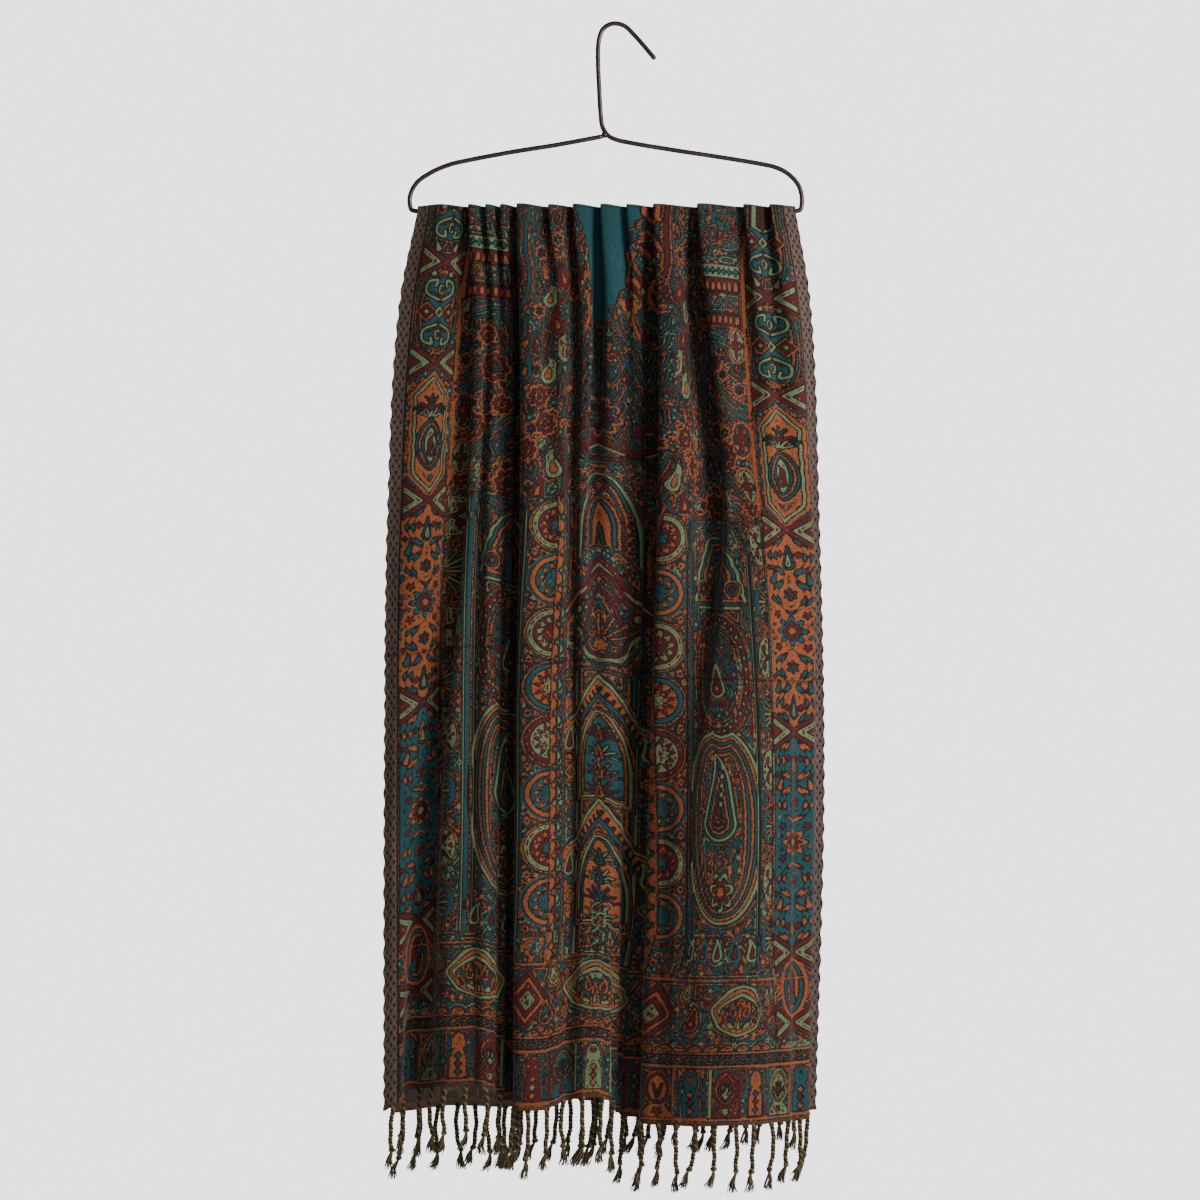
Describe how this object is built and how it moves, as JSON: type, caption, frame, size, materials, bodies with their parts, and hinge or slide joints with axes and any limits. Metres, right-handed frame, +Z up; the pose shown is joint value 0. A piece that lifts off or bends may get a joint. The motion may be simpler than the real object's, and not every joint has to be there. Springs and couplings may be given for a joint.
{
  "type": "scarf on wire hanger",
  "caption": "Patterned woven scarf hung double over the bar of a bent-wire hanger, gathered in soft folds, with a twisted tassel fringe at both ends.",
  "frame": {"origin": "underside of the crest of the hanger's hook, in the middle of the wire, where a rail carries it", "axes": "+Z up, +X to the viewer's right along the bar, +Y away from the viewer through the hanger's plane"},
  "size_m": [0.4376, 0.1283, 1.1603],
  "materials": {
    "woven_cloth": "matt jacquard weave in rust, teal, sage and maroon on a near-black ground",
    "twisted_fringe": "two-ply twist of black-brown and olive-gold yarn",
    "bronze_wire": "satin dark-bronze lacquer"
  },
  "bodies": {
    "root": {"hanger_wire": "bronze_wire", "bar_fold": "woven_cloth", "front_panel": "woven_cloth", "back_panel": "woven_cloth", "fringe_front": "twisted_fringe", "fringe_back": "twisted_fringe"}
  },
  "joints": []
}
